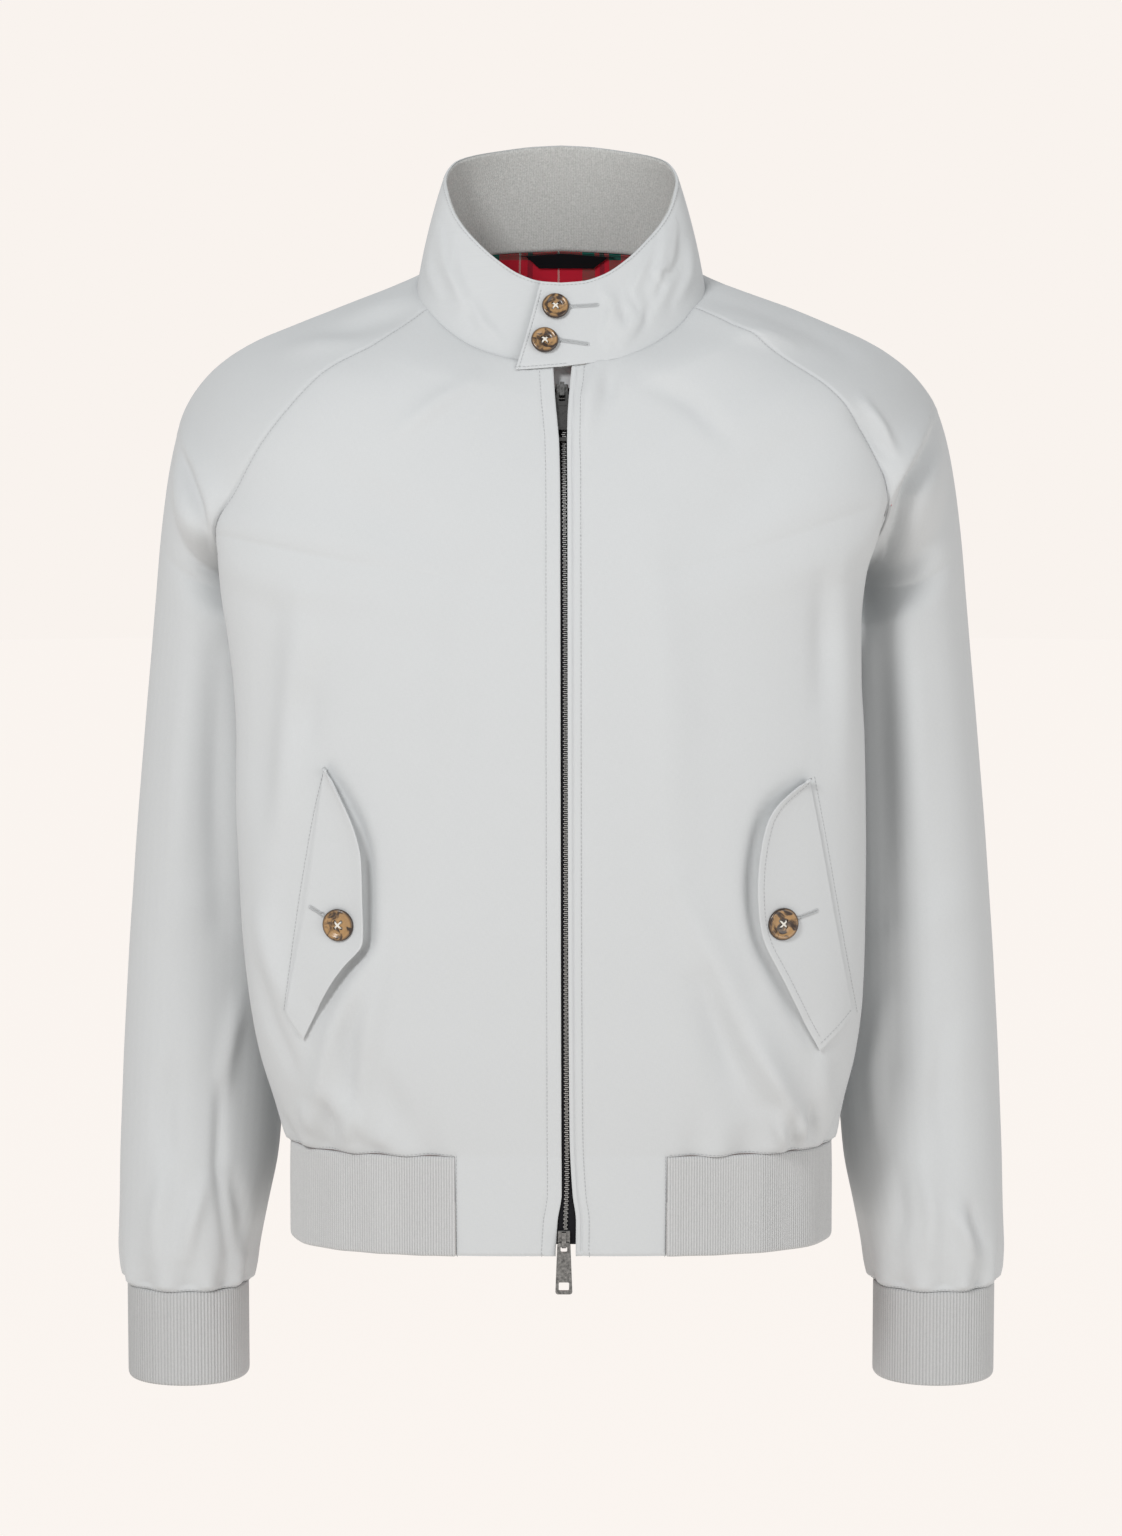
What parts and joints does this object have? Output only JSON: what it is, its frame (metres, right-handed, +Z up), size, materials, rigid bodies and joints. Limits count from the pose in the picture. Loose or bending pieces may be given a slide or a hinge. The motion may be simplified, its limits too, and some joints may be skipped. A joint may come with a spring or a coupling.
{
  "type": "harrington jacket",
  "caption": "Short zipped jacket with raglan sleeves, a two-button stand collar faced with rib, slanting flap pockets, and rib-knit cuffs and hem, filled out as if worn.",
  "frame": {"origin": "middle of the neck at the height of the shoulders, where the wearer holds the jacket up", "axes": "+Z up, -Y to the front of the jacket, +X to the wearer's left"},
  "size_m": [0.5992, 0.2609, 0.8253],
  "materials": {
    "front_right": "tightly woven showerproof cotton in light grey",
    "front_left": "tightly woven showerproof cotton in light grey",
    "back": "tightly woven showerproof cotton in light grey",
    "sleeve_right_front": "tightly woven showerproof cotton in light grey",
    "sleeve_right_back": "tightly woven showerproof cotton in light grey",
    "sleeve_left_front": "tightly woven showerproof cotton in light grey",
    "sleeve_left_back": "tightly woven showerproof cotton in light grey",
    "collar_outer": "tightly woven showerproof cotton in light grey",
    "collar_rib": "rib knit in light grey",
    "hem_rib": "rib knit in light grey",
    "cuff_right": "rib knit in light grey",
    "cuff_left": "rib knit in light grey",
    "flap_right": "tightly woven showerproof cotton in light grey",
    "flap_left": "tightly woven showerproof cotton in light grey",
    "back_lining": "smooth woven lining in a red tartan",
    "label": "woven black, bare",
    "zip_tape_right": "woven black tape",
    "zip_tape_left": "woven black tape",
    "slider_upper": "antique silver",
    "pull_upper": "antique silver",
    "slider_lower": "antique silver",
    "pull_lower": "antique silver",
    "button_collar_upper": "polished, tortoiseshell",
    "button_collar_lower": "polished, tortoiseshell",
    "button_pocket_right": "polished, tortoiseshell",
    "button_pocket_left": "polished, tortoiseshell"
  },
  "bodies": {
    "jacket": {"front_right": "front_right", "front_left": "front_left", "back": "back", "sleeve_right_front": "sleeve_right_front", "sleeve_right_back": "sleeve_right_back", "sleeve_left_front": "sleeve_left_front", "sleeve_left_back": "sleeve_left_back", "collar_outer": "collar_outer", "collar_rib": "collar_rib", "hem_rib": "hem_rib", "cuff_right": "cuff_right", "cuff_left": "cuff_left", "flap_right": "flap_right", "flap_left": "flap_left", "back_lining": "back_lining", "label": "label", "zip_tape_right": "zip_tape_right", "zip_tape_left": "zip_tape_left", "slider_upper": "slider_upper", "pull_upper": "pull_upper", "slider_lower": "slider_lower", "button_collar_upper": "button_collar_upper", "button_collar_lower": "button_collar_lower", "button_pocket_right": "button_pocket_right", "button_pocket_left": "button_pocket_left"},
    "lower_pull": {"pull_lower": "pull_lower"}
  },
  "joints": [
    {"name": "lower_pull_swing", "type": "hinge", "parent": "jacket", "child": "lower_pull", "pos_m": [0.00183, -0.11904, -0.61426], "axis": [-1, 0, 0], "range_deg": [0, 135]}
  ]
}
